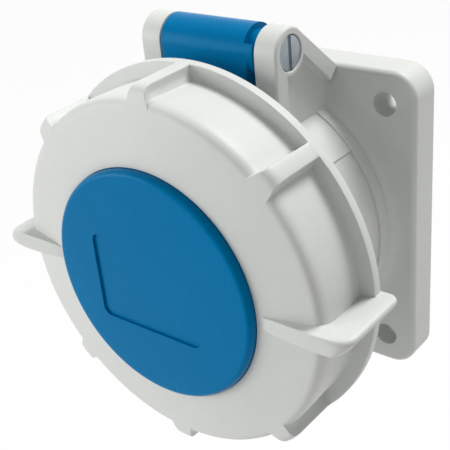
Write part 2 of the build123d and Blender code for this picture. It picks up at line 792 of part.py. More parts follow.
def make_bayonet_lugs():
    """Two lugs inside the ring, which turn behind the collar's ramps."""
    band = tube(ring_inner_radius, bayonet_lug_radius, bayonet_lug_back_y, bayonet_lug_front_y)
    lug_place = Pos(ring_inner_radius, 0)
    lug_outline = lug_place * Rectangle(ring_inner_radius, bayonet_lug_length)
    lug = band & from_front(lug_outline, bayonet_lug_back_y, bayonet_lug_front_y)
    return Compound(children=[lug, spun(lug, 180)])


def make_locking_ring():
    """The grey bayonet ring with its ribs and wings."""
    body = ring_shell()
    for angle in rib_angles:
        body += spun(ring_rib(), angle)
    wing = ring_wing()
    return body + wing + spun(wing, 180)


save("flange_housing", make_flange_housing())
save("bayonet_ramps", make_bayonet_ramps())
save("flange_gasket", make_flange_gasket())
save("contact_carrier", make_contact_carrier())
save("carrier_seal", make_carrier_seal())
save("terminal_block", make_terminal_block())
for contact_name, (contact_angle, contact_pin) in contact_places().items():
    save(contact_name, make_contact(contact_angle, contact_pin))
save("contact_springs", make_contact_springs())
save("terminal_screws", make_terminal_screws())
save("insert_screw", make_insert_screw())
save("retaining_ring", make_retaining_ring())
save("hinge_pin", make_hinge_pin())
save("pin_clip", make_pin_clip())
save("lid_spring", make_lid_spring())
save("lid_body", make_lid_body())
save("lid_gasket", make_lid_gasket())
save("lid_cap", make_lid_cap())
save("cap_seal", make_cap_seal())
save("cap_screws", make_cap_screws())
save("locking_ring", make_locking_ring())
save("bayonet_lugs", make_bayonet_lugs())
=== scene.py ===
import json
from math import acos, atan2, cos, hypot, pi, radians, sin

import bmesh
import bpy
from mathutils import Matrix, Vector


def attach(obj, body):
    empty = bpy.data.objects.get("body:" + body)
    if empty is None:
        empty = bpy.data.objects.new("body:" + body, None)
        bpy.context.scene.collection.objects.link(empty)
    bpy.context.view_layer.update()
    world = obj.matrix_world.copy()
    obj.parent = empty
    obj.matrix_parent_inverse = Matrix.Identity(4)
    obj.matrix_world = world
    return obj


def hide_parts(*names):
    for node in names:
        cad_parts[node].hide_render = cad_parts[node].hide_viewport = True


# Panel socket with a hinged lid and a locking ring. Pieces are modelled in millimetres and scaled to
# metres when they are finished. The front faces -Y, and +X is on the right seen from the front.

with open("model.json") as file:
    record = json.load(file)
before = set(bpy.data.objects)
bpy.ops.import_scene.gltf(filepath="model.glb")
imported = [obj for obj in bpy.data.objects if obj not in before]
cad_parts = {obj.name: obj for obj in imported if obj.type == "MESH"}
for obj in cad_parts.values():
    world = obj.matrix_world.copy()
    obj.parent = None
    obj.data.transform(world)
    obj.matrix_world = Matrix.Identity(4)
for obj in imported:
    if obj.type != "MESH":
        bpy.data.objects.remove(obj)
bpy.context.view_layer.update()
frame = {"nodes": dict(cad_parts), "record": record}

MM = 0.001
AXIS = (0, -1, 0)  # the main axis, towards the front
HERE = (0, 0, 0)
WHITE = (1, 1, 1, 1)
NEAR = 0.01  # two lengths that differ by less are the same
CORNER = 60  # degrees that two faces turn where they meet at a corner
LINE_WELD, SKIN_WELD, LAST_WELD = 0.001, 0.002, 0.004  # points closer than this become one

# Sizes that several pieces share
hinge_y, hinge_z = -25.6, 44.9
pin_bore_radius = 2.08
ear_radius = 5.5
ear_inner_x, ear_web_x, ear_outer_x = 12.7, 15.9, 18.2
ear_foot_z = 24.0
flange_front_y = -8.7
collar_radius = 31.7


# Hands: selecting, drawing, turning, cutting and joining

def put_down():
    """Leaves edit mode with nothing selected."""
    if bpy.context.object and bpy.context.object.mode != "OBJECT":
        bpy.ops.object.mode_set(mode="OBJECT")
    bpy.ops.object.select_all(action="DESELECT")


def take(piece):
    """Opens one piece for editing, with all of it selected."""
    put_down()
    bpy.context.view_layer.objects.active = piece
    piece.select_set(True)
    bpy.ops.object.mode_set(mode="EDIT")
    bpy.ops.mesh.select_mode(type="VERT")
    bpy.ops.mesh.select_all(action="SELECT")


def pick(piece, kind, test):
    """Selects the edges or faces of the open piece that pass a test on their middle and themselves."""
    bpy.ops.mesh.select_all(action="DESELECT")
    bpy.ops.mesh.select_mode(type=kind)
    net = bmesh.from_edit_mesh(piece.data)
    net.normal_update()
    for part in net.edges if kind == "EDGE" else net.faces:
        if kind == "EDGE":
            middle = (part.verts[0].co + part.verts[1].co) / 2
        else:
            middle = part.calc_center_median()
        if test(middle, part):
            part.select_set(True)
    net.select_flush_mode()
    bmesh.update_edit_mesh(piece.data)


def sharp(edge):
    """True where an edge's two faces meet at a corner."""
    return len(edge.link_faces) == 2 and edge.calc_face_angle(0) > radians(CORNER)


def near(value, other):
    """True where two lengths are the same."""
    return abs(value - other) < NEAR


def draw_line(name, points, closed):
    """A chain of edges through points, pulled out of a plane that is shrunk to the first of them."""
    put_down()
    bpy.ops.mesh.primitive_plane_add(size=1, location=points[0])
    piece = bpy.context.object
    piece.name = piece.data.name = name
    bpy.ops.object.transform_apply(location=True, rotation=False, scale=False)
    take(piece)
    bpy.ops.mesh.merge(type="CENTER")
    stops = list(points) + ([points[0]] if closed else [])
    for here, there in zip(stops, stops[1:]):
        step = Vector(there) - Vector(here)
        bpy.ops.mesh.extrude_vertices_move(TRANSFORM_OT_translate={"value": step})
    bpy.ops.mesh.select_all(action="SELECT")
    bpy.ops.mesh.remove_doubles(threshold=LINE_WELD)
    return piece


def tidy_skin():
    """Welds the open piece and turns its faces outwards."""
    bpy.ops.mesh.select_mode(type="VERT")
    bpy.ops.mesh.select_all(action="SELECT")
    bpy.ops.mesh.remove_doubles(threshold=SKIN_WELD)
    bpy.ops.mesh.normals_make_consistent(inside=False)


def turned(name, profile, steps, closed=True):
    """A profile of (radius, depth) points, spun once round the main axis."""
    piece = draw_line(name, [(r, y, 0) for r, y in profile], closed)
    bpy.ops.mesh.spin(steps=steps, angle=2 * pi, center=HERE, axis=AXIS)
    tidy_skin()
    put_down()
    return piece


def plug(name, profile, steps):
    """A solid turned from a profile that starts and ends on the main axis."""
    return turned(name, profile, steps, closed=False)


def slab(name, outline, depth):
    """A flat outline given a thickness along a vector."""
    piece = draw_line(name, outline, closed=True)
    bpy.ops.mesh.edge_face_add()
    bpy.ops.mesh.extrude_region_move(TRANSFORM_OT_translate={"value": depth})
    tidy_skin()
    put_down()
    return piece


def block(name, size, middle):
    """A box, a cube primitive given its size and place."""
    put_down()
    bpy.ops.mesh.primitive_cube_add(size=1, location=middle, scale=size)
    piece = bpy.context.object
    piece.name = piece.data.name = name
    bpy.ops.object.transform_apply(location=True, rotation=True, scale=True)
    return piece


def bar(name, radius, middle, axis, length, vertices=48):
    """A round bar, a cylinder primitive turned to its axis."""
    put_down()
    lean = Vector((0, 0, 1)).rotation_difference(Vector(axis)).to_euler()
    bpy.ops.mesh.primitive_cylinder_add(
        vertices=vertices, radius=radius, depth=length, location=middle, rotation=lean
    )
    piece = bpy.context.object
    piece.name = piece.data.name = name
    bpy.ops.object.transform_apply(location=True, rotation=True, scale=True)
    return piece


def hinge_bar(name, radius, x, length, vertices=48):
    """A round bar on the hinge's axis, with its middle at x."""
    return bar(name, radius, (x, hinge_y, hinge_z), (1, 0, 0), length, vertices)


def round_edges(piece, test, width, segments):
    """Rounds the edges of a piece that pass a test."""
    take(piece)
    pick(piece, "EDGE", test)
    bpy.ops.mesh.bevel(
        offset=width, offset_type="OFFSET", segments=segments, affect="EDGES", clamp_overlap=False
    )
    put_down()


def combine(piece, tool, operation="UNION"):
    """Joins a second solid to a piece, or cuts it away, and clears the second one."""
    put_down()
    bpy.context.view_layer.objects.active = piece
    piece.select_set(True)
    change = piece.modifiers.new("combine", "BOOLEAN")
    change.operation = operation
    change.solver = "EXACT"
    change.object = tool
    bpy.ops.object.modifier_apply(modifier=change.name)
    bpy.data.objects.remove(tool)


def cut(piece, tool):
    """Cuts a second solid out of a piece."""
    combine(piece, tool, "DIFFERENCE")


def another(piece, name):
    """A copy of a piece with its own mesh."""
    twin = piece.copy()
    twin.data = piece.data.copy()
    twin.name = twin.data.name = name
    bpy.context.scene.collection.objects.link(twin)
    return twin


def turn(piece, angle):
    """Turns all of a piece in place about the main axis, in degrees, from +X towards +Z."""
    take(piece)
    bpy.ops.transform.rotate(
        value=radians(angle), orient_axis="Y", orient_type="GLOBAL", center_override=HERE
    )
    put_down()
    return piece


def other_side(piece, name):
    """A mirrored copy on the other side of the middle plane."""
    twin = another(piece, name)
    take(twin)
    bpy.ops.transform.resize(value=(-1, 1, 1), center_override=HERE)
    bpy.ops.mesh.normals_make_consistent(inside=False)
    put_down()
    return twin


def join(pieces):
    """Makes one object of several, with their seams still open."""
    put_down()
    for piece in pieces:
        piece.select_set(True)
    bpy.context.view_layer.objects.active = pieces[0]
    bpy.ops.object.join()
    return pieces[0]


def finish_piece(piece, body, material, replaced, smooth):
    """Cleans a piece, scales it to metres, shades it, and gives it its finish and its body."""
    take(piece)
    bpy.ops.mesh.remove_doubles(threshold=LAST_WELD)
    bpy.ops.mesh.dissolve_degenerate(threshold=LAST_WELD)
    bpy.ops.mesh.select_all(action="SELECT")
    bpy.ops.transform.resize(value=(MM, MM, MM), center_override=HERE)
    put_down()
    piece.select_set(True)
    bpy.context.view_layer.objects.active = piece
    bpy.ops.object.shade_smooth_by_angle(angle=radians(smooth))
    even = piece.modifiers.new("even_shading", "WEIGHTED_NORMAL")
    even.keep_sharp = True
    bpy.ops.object.modifier_apply(modifier=even.name)
    piece.data.materials.clear()
    piece.data.materials.append(material)
    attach(piece, body)
    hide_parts(replaced)


# Finishes

class Field:
    """A value that varies over a surface. Sums and products of fields add their own maths nodes."""

    def __init__(self, paint, socket):
        self.paint = paint
        self.socket = socket

    def maths(self, operation, first, second):
        return self.paint.node("ShaderNodeMath", {"operation": operation}, {0: first, 1: second})

    def __add__(self, other):
        return self.maths("ADD", self, other)

    def __radd__(self, other):
        return self.maths("ADD", other, self)

    def __sub__(self, other):
        return self.maths("SUBTRACT", self, other)

    def __rsub__(self, other):
        return self.maths("SUBTRACT", other, self)

    def __mul__(self, other):
        return self.maths("MULTIPLY", self, other)

    def __rmul__(self, other):
        return self.maths("MULTIPLY", other, self)

    def larger(self, other):
        return self.maths("MAXIMUM", self, other)


class Paint:
    """The nodes of a material or a world under construction, with one method that adds any node."""

    def __init__(self, owner):
        owner.use_nodes = True
        self.owner = owner
        self.tree = owner.node_tree
        self.tree.nodes.clear()
        self.place = None

    def node(self, kind, settings=None, inputs=None, output=0):
        """Adds a node: its settings first, then the values or links of its sockets."""
        made = self.tree.nodes.new(kind)
        for name, value in (settings or {}).items():
            setattr(made, name, value)
        for name, value in (inputs or {}).items():
            if isinstance(value, Field):
                self.tree.links.new(value.socket, made.inputs[name])
            else:
                made.inputs[name].default_value = value
        return Field(self, made.outputs[output]) if made.outputs else None

    def noise(self, scale, detail, roughness=0.5, stretch=None):
        """Noise on the piece's own coordinates, in metres, so its scale is high."""
        if self.place is None:
            self.place = self.node("ShaderNodeTexCoord", output="Object")
        place = self.place
        if stretch:
            place = self.node("ShaderNodeMapping", None, {"Vector": place, "Scale": stretch})
        return self.node(
            "ShaderNodeTexNoise", None,
            {"Vector": place, "Scale": scale, "Detail": detail, "Roughness": roughness}, output="Fac"
        )

    def ramp(self, field, low, high):
        """A field stretched so that low becomes 0 and high becomes 1."""
        return self.node(
            "ShaderNodeMapRange", {"clamp": True}, {"Value": field, "From Min": low, "From Max": high}
        )

    def blend(self, share, first, second):
        """A colour between two colours."""
        return self.node("ShaderNodeMix", {"data_type": "RGBA"}, {0: share, 6: first, 7: second}, output=2)

    def bump(self, height, distance):
        """A surface that is uneven by a distance in metres."""
        return self.node(
            "ShaderNodeBump", None, {"Height": height, "Distance": distance, "Strength": 1.0},
            output="Normal"
        )

    def surface(self, **inputs):
        """A surface shader, with its sockets named in words joined by underscores."""
        named = {name.replace("_", " "): value for name, value in inputs.items()}
        return self.node("ShaderNodeBsdfPrincipled", None, named, output="BSDF")

    def mixed(self, share, first, second):
        """A shader between two shaders."""
        return self.node("ShaderNodeMixShader", None, {0: share, 1: first, 2: second})

    def close(self, shader, kind="ShaderNodeOutputMaterial"):
        """Puts the finished shader on its output, and hands back the material or world."""
        self.node(kind, None, {"Surface": shader})
        return self.owner


def linear(red, green, blue):
    """A colour given as it shows on a screen, 0 to 255, as the light values that a shader takes."""
    values = []
    for part in (red, green, blue):
        share = part / 255
        values.append(share / 12.92 if share <= 0.04045 else ((share + 0.055) / 1.055) ** 2.4)
    return (*values, 1.0)


def moulded_plastic(name, main, worn, roughness, grain, gloss=0.3, tint=(1, 1, 1, 1)):
    """A satin moulding: slow drift of tone, fine pitting from the mould, and a slightly paler bloom."""
    paint = Paint(bpy.data.materials.new(name))
    drift = paint.ramp(paint.noise(38, 3), 0.35, 0.7)
    bloom = paint.ramp(paint.noise(420, 4, 0.6), 0.45, 0.8)
    pits = paint.noise(2600, 2)
    colour = paint.blend(drift * 0.5 + bloom * 0.25 + (pits - 0.4) * 0.6, main, worn)
    rough = roughness + drift * 0.05 + (pits - 0.5) * 0.1
    height = pits * 0.6 + bloom * 0.4
    return paint.close(paint.surface(
        Base_Color=colour, Roughness=rough, Normal=paint.bump(height, grain),
        IOR=1.5, Specular_IOR_Level=gloss, Specular_Tint=tint
    ))


def turned_metal(name, main, worn, roughness):
    """Bright turned metal with turning marks and a dull haze."""
    paint = Paint(bpy.data.materials.new(name))
    haze = paint.ramp(paint.noise(260, 4, 0.6), 0.35, 0.75)
    marks = paint.noise(900, 3, 0.7, (0.15, 1, 1))
    return paint.close(paint.surface(
        Base_Color=paint.blend(haze, main, worn), Metallic=1.0, Roughness=roughness + haze * 0.14,
        Normal=paint.bump(marks, 0.00003)
    ))


def sealing_rubber(name):
    """Matt black rubber with a grey bloom."""
    paint = Paint(bpy.data.materials.new(name))
    bloom = paint.ramp(paint.noise(150, 5, 0.6), 0.4, 0.75)
    skin = paint.noise(1800, 3)
    return paint.close(paint.surface(
        Base_Color=paint.blend(bloom, linear(30, 30, 31), linear(52, 52, 53)),
        Roughness=0.62 + bloom * 0.15, Normal=paint.bump(skin, 0.00004)
    ))


grey_plastic = moulded_plastic(
    "grey_moulding", linear(203, 205, 201), linear(211, 213, 209), roughness=0.42, grain=0.000025
)
blue_plastic = moulded_plastic(
    "blue_moulding", linear(0, 107, 158), linear(0, 115, 167), roughness=0.25, grain=0.00003,
    gloss=0.08, tint=(0.05, 0.5, 0.9, 1)
)
insert_plastic = moulded_plastic(
    "insert_moulding", linear(156, 161, 164), linear(168, 173, 176), roughness=0.48, grain=0.00004
)
pin_finish = turned_metal("pin_plating", linear(170, 179, 186), linear(148, 156, 163), 0.34)
screw_finish = turned_metal("screw_plating", linear(196, 192, 176), linear(168, 166, 158), 0.32)
spring_finish = turned_metal("spring_wire", linear(150, 150, 152), linear(112, 112, 116), 0.28)
brass_finish = turned_metal("turned_brass", linear(214, 178, 104), linear(178, 140, 76), 0.26)
rubber_finish = sealing_rubber("seal_rubber_skin")


# Locking ring. Its outer skin is drawn as levels, from the cap pocket over the face and wall to the rim.
# Each level gives (radius, depth) on the plain skin, then for a rib and for a wing its ridge: (radius,
# depth, half width on top, half width at the foot, rounding of its edges), or None to stay plain.

RING_LEVELS = [
    ((27.2, -55.1), None, None),
    ((27.34, -55.22), None, None),
    ((28.5, -55.08), None, (28.5, -55.08, 1.5, 1.5, 0.1)),
    ((29.2, -54.96), None, (29.1, -55.28, 1.45, 1.62, 0.1)),
    ((31.0, -54.66), None, (30.9, -55.44, 1.7, 1.78, 0.12)),
    ((33.5, -54.25), None, (33.5, -55.6, 1.85, 1.9, 0.15)),
    ((37.0, -53.67), None, (37.3, -55.78, 1.96, 2.1, 0.18)),
    ((39.45, -53.27), (39.45, -53.27, 3.0, 3.0, 0), (40.4, -55.85, 2.0, 2.27, 0.2)),
    ((40.05, -53.1), (40.6, -53.08, 2.75, 2.98, 0.1), (42.0, -55.85, 2.0, 2.3, 0.22)),
    ((40.5, -52.84), (41.7, -52.9, 2.5, 2.93, 0.15), (43.6, -55.85, 2.0, 2.35, 0.3)),
    ((40.87, -52.46), (42.6, -52.72, 2.3, 2.86, 0.18), (45.0, -55.84, 2.0, 2.3, 0.4)),
    ((41.15, -51.93), (43.3, -52.42, 2.12, 2.78, 0.2), (46.3, -55.7, 2.05, 2.15, 0.55)),
    ((41.32, -51.28), (43.85, -51.88, 1.98, 2.68, 0.2), (47.4, -55.38, 2.1, 1.9, 0.75)),
    ((41.4, -50.5), (44.15, -51.1, 1.88, 2.58, 0.2), (48.2, -54.85, 2.15, 1.65, 0.95)),
    ((41.4, -49.6), (44.27, -50.1, 1.82, 2.5, 0.2), (48.7, -54.1, 2.2, 1.4, 1.1)),
    ((41.38, -48.6), (44.3, -49.0, 1.8, 2.45, 0.2), (48.95, -53.1, 2.2, 1.3, 1.2)),
    ((41.33, -46.8), (44.31, -46.8, 1.8, 2.45, 0.2), (49.0, -50.5, 2.2, 1.15, 1.2)),
    ((41.27, -44.0), (44.36, -44.0, 1.8, 2.45, 0.2), (49.0, -46.5, 2.2, 1.0, 1.2)),
    ((41.2, -40.8), (44.4, -40.8, 1.8, 2.45, 0.2), (49.0, -42.0, 2.2, 1.0, 1.2)),
    ((41.19, -38.75), (44.43, -39.3, 1.8, 2.45, 0.2), (49.0, -39.6, 2.2, 1.0, 1.2)),
    ((41.4, -38.52), (44.47, -38.85, 1.8, 2.4, 0.15), (49.0, -39.0, 2.2, 1.03, 1.2)),
    ((44.38, -38.5), (44.51, -38.5, 1.8, 1.85, 0.1), (49.0, -38.3, 2.2, 2.0, 1.2)),
    ((44.53, -38.33), (44.53, -38.33, 1.8, 1.8, 0), (48.95, -37.7, 2.2, 2.05, 1.2)),
    ((44.53, -36.4), None, (48.5, -36.75, 2.2, 2.1, 1.0)),
    ((44.25, -36.1), None, (47.7, -36.2, 2.15, 2.1, 0.6)),
    ((43.6, -36.1), None, None)
]
RIB, WING = 1, 2  # the places of their ridges in a level

# The inside of the ring as (radius, depth), from the rim's back over the wall and the hub to the pocket
RING_INSIDE = [
    (38.5, -36.1), (38.2, -36.4), (38.2, -44.0), (38.2, -51.9), (37.9, -52.2), (30.0, -52.2),
    (24.5, -52.2), (24.2, -52.0), (24.2, -53.3), (24.5, -53.5), (26.95, -53.5), (27.2, -53.3),
    (27.2, -54.85)
]
SECTOR_HALF = 22.5  # degrees
LEVEL_NEAR = 0.03  # a point this near to a level lies on it


def ring_sector(name, side):
    """An eighth of the plain ring, centred on +X, with its columns at the same angles to both sides."""
    columns = [-angle for angle in reversed(side)] + [0] + side
    profile = [level[0] for level in RING_LEVELS] + RING_INSIDE
    first = radians(columns[0])
    piece = draw_line(name, [(r * cos(first), y, r * sin(first)) for r, y in profile], closed=True)
    for here, there in zip(columns, columns[1:]):
        bpy.ops.mesh.spin(steps=1, angle=radians(here - there), center=HERE, axis=AXIS)
    tidy_skin()
    number_levels(piece)
    return piece


def number_levels(piece):
    """Notes on each point of the outer skin which level it lies on, counted from 1."""
    net = bmesh.from_edit_mesh(piece.data)
    level_of = net.verts.layers.int.new("level")
    net.verts.layers.int.new("stage")
    for vertex in net.verts:
        radius = hypot(vertex.co.x, vertex.co.z)
        for number, (plain, rib, wing) in enumerate(RING_LEVELS, start=1):
            if hypot(radius - plain[0], vertex.co.y - plain[1]) < LEVEL_NEAR:
                vertex[level_of] = number
    bmesh.update_edit_mesh(piece.data)


def pick_stage(piece, stage, level=None):
    """Selects the points that one stage has pulled out, on all levels or on one."""
    net = bmesh.from_edit_mesh(piece.data)
    level_of = net.verts.layers.int["level"]
    stage_of = net.verts.layers.int["stage"]
    for part in list(net.faces) + list(net.edges) + list(net.verts):
        part.select = False
    for vertex in net.verts:
        if vertex[stage_of] == stage and (level is None or vertex[level_of] == level):
            vertex.select = True
    net.select_flush(True)
    bmesh.update_edit_mesh(piece.data)


def mark_stage(piece, stage, test):
    """Notes on the points that pass a test which stage pulled them out."""
    net = bmesh.from_edit_mesh(piece.data)
    level_of = net.verts.layers.int["level"]
    stage_of = net.verts.layers.int["stage"]
    for vertex in net.verts:
        if test(vertex, vertex[level_of]):
            vertex[stage_of] = stage
    bmesh.update_edit_mesh(piece.data)


def raise_ridge(piece, which, half_angle, stages):
    """Pulls a ridge out of the skin. A stage is how far out it is, how much of its foot's flare is left,
    and how much of its edge's rounding has been taken off its width."""
    bpy.ops.mesh.select_mode(type="VERT")
    rows = {
        number: (level[0], level[which]) for number, level in enumerate(RING_LEVELS, start=1)
        if level[which]
    }
    mark_stage(piece, 1, lambda vertex, level: (
        level in rows and abs(atan2(vertex.co.z, vertex.co.x)) < radians(half_angle + 0.1)
    ))
    before = {}
    for number, (plain, ridge) in rows.items():
        half_foot = ridge[3]
        pick_stage(piece, 1, number)
        bpy.ops.transform.resize(
            value=(1, 1, half_foot / (plain[0] * sin(radians(half_angle)))), center_override=HERE
        )
        before[number] = (*plain, half_foot)
    for stage, (share, flare, edge) in enumerate(stages, start=2):
        pick_stage(piece, stage - 1)
        bpy.ops.mesh.extrude_region_move(TRANSFORM_OT_translate={"value": HERE})
        mark_stage(piece, stage, lambda vertex, level: vertex.select)
        for number, (plain, ridge) in rows.items():
            radius, depth, half_top, half_foot, rounding = ridge
            x, y, z = before[number]
            to_x = plain[0] + share * (radius - plain[0])
            to_y = plain[1] + share * (depth - plain[1])
            to_z = half_top + flare * (half_foot - half_top) - edge * rounding
            if (radius, depth) == plain:
                to_z = z
            pick_stage(piece, stage, number)
            bpy.ops.transform.resize(value=(to_x / x, 1, to_z / z), center_override=HERE)
            bpy.ops.transform.translate(value=(0, to_y - y, 0))
            before[number] = (to_x, to_y, to_z)


def shape_tip(piece):
    """Leans the end of the open piece's wing back on one side, and softens the front edge on the other."""
    skin_x, soft_from_z, soft_depth, soft_reach, softness = 41.2, 1.8, -48, 8, 0.13
    lean_from_x, lean_run, lean_edge_z, lean = 44.4, 4.2, 1.3, 0.78
    net = bmesh.from_edit_mesh(piece.data)
    for vertex in net.verts:
        out = min(1.0, max(0.0, (vertex.co.x - lean_from_x) / lean_run))
        past = 0.38 * (vertex.co.x - skin_x) + 0.92 * (vertex.co.z - soft_from_z)
        if vertex.co.y < soft_depth and vertex.co.x > skin_x and past > 0:
            vertex.co.y += softness * past ** 2 * (soft_depth - vertex.co.y) / soft_reach
        vertex.co.x -= lean * max(0.0, lean_edge_z - vertex.co.z) * out * out * (3 - 2 * out)
    bmesh.update_edit_mesh(piece.data)


def make_ring():
    """The ring, joined from eight sectors: two with a wing and six with a rib."""
    wing_half, rib_half = 3.2, 4.2
    wing_sector = ring_sector(
        "ring_moulding", [1.05, 2.1, wing_half, 5.4, 8.3, 11.1, 13.9, 16.8, 19.6, SECTOR_HALF]
    )
    raise_ridge(wing_sector, WING, wing_half, [
        (0.09, 0.76, 0), (0.2, 0.48, 0), (0.4, 0.18, 0), (0.62, 0.04, 0), (0.85, 0, 0), (0.93, 0, 0.15),
        (0.975, 0, 0.45), (1, 0, 1)
    ])
    shape_tip(wing_sector)
    put_down()
    rib_sector = ring_sector(
        "rib_sector", [1.4, 2.8, rib_half, 6.3, 9.0, 11.7, 14.4, 17.1, 19.8, SECTOR_HALF]
    )
    raise_ridge(rib_sector, RIB, rib_half, [
        (0.1, 0.73, 0), (0.25, 0.4, 0), (0.4, 0.185, 0), (0.55, 0.05, 0), (0.9, 0, 0), (0.97, 0, 0.3),
        (1, 0, 1)
    ])
    put_down()
    sectors = [wing_sector, turn(another(wing_sector, "wing_sector"), 180)]
    for angle in (45, 90, 135, 225, 270, 315):
        sectors.append(turn(another(rib_sector, "rib_sector"), angle))
    bpy.data.objects.remove(rib_sector)
    ring = join(sectors)
    take(ring)
    tidy_skin()
    put_down()
    finish_piece(ring, "ring", grey_plastic, "locking_ring", smooth=50)


# Lid cap

def on_arc(centre, radius, angle):
    """A point of an arc, at an angle from straight forward towards straight out."""
    return (centre[0] + radius * sin(radians(angle)), centre[1] - radius * cos(radians(angle)))


def rounded_rectangle(width, height, corner, x, z, y):
    """Points round a rectangle with round corners, seen from the front."""
    points = []
    steps = 6
    for quarter, (side, up) in zip((0, 90, 180, 270), ((1, 1), (-1, 1), (-1, -1), (1, -1))):
        for step in range(steps + 1):
            angle = radians(quarter + 90 * step / steps)
            px = x + side * (width / 2 - corner) + corner * cos(angle)
            pz = z + up * (height / 2 - corner) + corner * sin(angle)
            points.append((px, y, pz))
    return points


def make_cap():
    """The blue cap: a turned button with a shallow bare field for a label."""
    front_y = -57.19
    field_front_y, field_floor_y = -58.5, -56.6
    field_width, field_height, field_corner, field_x, field_z = 28.4, 21.0, 2.0, -1.0, -0.6
    edge = [on_arc((25.8, -55.89), 1.3, angle) for angle in range(90, -1, -15)]
    cap = plug("cap_moulding", [
        (0, -53.6), (26.9, -53.6), (27.1, -53.8), *edge, (24.6, front_y), (0, front_y)
    ], 144)
    outline = rounded_rectangle(field_width, field_height, field_corner, field_x, field_z, field_front_y)
    cut(cap, slab("label_field", outline, (0, field_floor_y - field_front_y, 0)))

    def field_edge(middle, edge):
        beside = abs(middle.x) < field_width / 2 + 2.8 and abs(middle.z) < field_height / 2 + 2
        return middle.y < front_y + 0.04 and beside and sharp(edge)

    round_edges(cap, field_edge, 0.08, 2)
    finish_piece(cap, "lid", blue_plastic, "lid_cap", smooth=30)


# Lid: hinge barrel, arm, plate and hub

def make_lid():
    """The blue lid body, built up from its turned plate, the arm and the hinge barrel."""
    plate = plug("lid_moulding", [
        (0, -53.6), (23.3, -53.6), (23.7, -53.2), (23.7, -52.0), (37.5, -52.0), (37.8, -51.7),
        (37.8, -49.3), (37.5, -49.0), (32.7, -49.0), (32.7, -50.2), (28.4, -50.2), (28.4, -49.0),
        (0, -49.0)
    ], 144)
    screw_circle = 17
    for angle in (45, 135, 225, 315):
        x, z = screw_circle * cos(radians(angle)), screw_circle * sin(radians(angle))
        cut(plate, bar("well", 2.9, (x, -48.4, z), (0, 1, 0), 3.8))
    outer = [(37.8, 90 - angle) for angle in range(-18, 19, 3)]
    inner = [(33.0, 90 - angle) for angle in range(18, -19, -3)]
    band = [(r * cos(radians(angle)), -50.5, r * sin(radians(angle))) for r, angle in outer + inner]
    combine(plate, slab("band", band, (0, 23.4, 0)))

    half = 12.4
    front_y = hinge_y - ear_radius
    arm_thickness, arm_foot_z, arm_inset = 4.0, 35.4, 2.3
    arm = slab("arm", [
        (-half, front_y, hinge_z), (half, front_y, hinge_z), (half - 1.15, front_y, 43.9),
        (half - 2.2, front_y, 40.4), (half - arm_inset, front_y, 38.5),
        (half - arm_inset, front_y, arm_foot_z), (-half + arm_inset, front_y, arm_foot_z),
        (-half, front_y, 40.0)
    ], (0, arm_thickness, 0))

    def arm_side(middle, edge):
        return near(middle.y, front_y) and abs(middle.x) > half - 2.6 and middle.z < hinge_z - 0.1

    round_edges(arm, arm_side, 0.5, 3)
    barrel = hinge_bar("barrel", ear_radius, 0, 2 * half, 96)
    round_edges(barrel, lambda middle, edge: sharp(edge), 0.3, 2)

    # The barrel's right end is stepped down over part of its turn
    step_x, reach, start = half - 2.4, 12.0, radians(152)
    step = slab("step", [
        (step_x, hinge_y, hinge_z),
        (step_x, hinge_y + reach * cos(start), hinge_z + reach * sin(start)),
        (step_x, hinge_y, hinge_z + reach), (step_x, hinge_y + reach, hinge_z)
    ], (4, 0, 0))
    cut(step, hinge_bar("step_core", 4.2, half, 8, 96))
    cut(barrel, step)
    combine(barrel, arm)
    combine(plate, barrel)
    cut(plate, hinge_bar("pin_bore", pin_bore_radius, 0, 40))
    cut(plate, hinge_bar("spring_room", 3.6, -half - 1.6, 21.6))
    finish_piece(plate, "lid", blue_plastic, "lid_body", smooth=30)


# Housing: flange, collar and hinge ears

def make_flange():
    """The square flange: a box with its corners and its front and back edges rounded."""
    side = 75
    flange = block("housing_moulding", (side, -flange_front_y, side), (0, flange_front_y / 2, 0))

    def corner(middle, edge):
        return abs(middle.x) > side / 2 - 0.5 and abs(middle.z) > side / 2 - 0.5

    round_edges(flange, corner, 6.0, 10)
    round_edges(flange, lambda middle, edge: near(middle.y, flange_front_y), 1.3, 5)
    round_edges(flange, lambda middle, edge: near(middle.y, 0), 0.3, 2)
    return flange


def make_collar():
    """The collar: a turned wall with a low ridge, a groove, a soft foot and a sunk field on its right."""
    field_front_y, field_rear_y, field_half_angle, field_depth = -23.5, -14, 39.4, 0.35
    collar = turned("collar", [
        (28.0, -47.0), (31.1, -47.0), (31.45, -46.9), (31.63, -46.7), (collar_radius, -46.4),
        (collar_radius, -35.0), (collar_radius, field_front_y), (collar_radius, -18.5),
        (collar_radius, field_rear_y), (32.0, -13.95), (32.1, -13.8), (32.1, -10.95), (31.85, -10.8),
        (31.85, -10.6), (32.2, -10.4), (32.6, -9.95), (33.3, -9.4), (34.2, -9.02), (35.3, -8.8),
        (36.5, -8.7), (36.5, -8.2), (28.0, -8.2)
    ], 192)

    def in_field(middle, face):
        if not field_front_y < middle.y < field_rear_y or hypot(middle.x, middle.z) < 31:
            return False
        return abs(atan2(middle.z, middle.x)) < radians(field_half_angle)

    take(collar)
    pick(collar, "FACE", in_field)
    bpy.ops.mesh.extrude_region_move(TRANSFORM_OT_translate={"value": HERE})
    share = (collar_radius - field_depth) / collar_radius
    bpy.ops.transform.resize(value=(share, 1, share), center_override=HERE)
    put_down()
    return collar


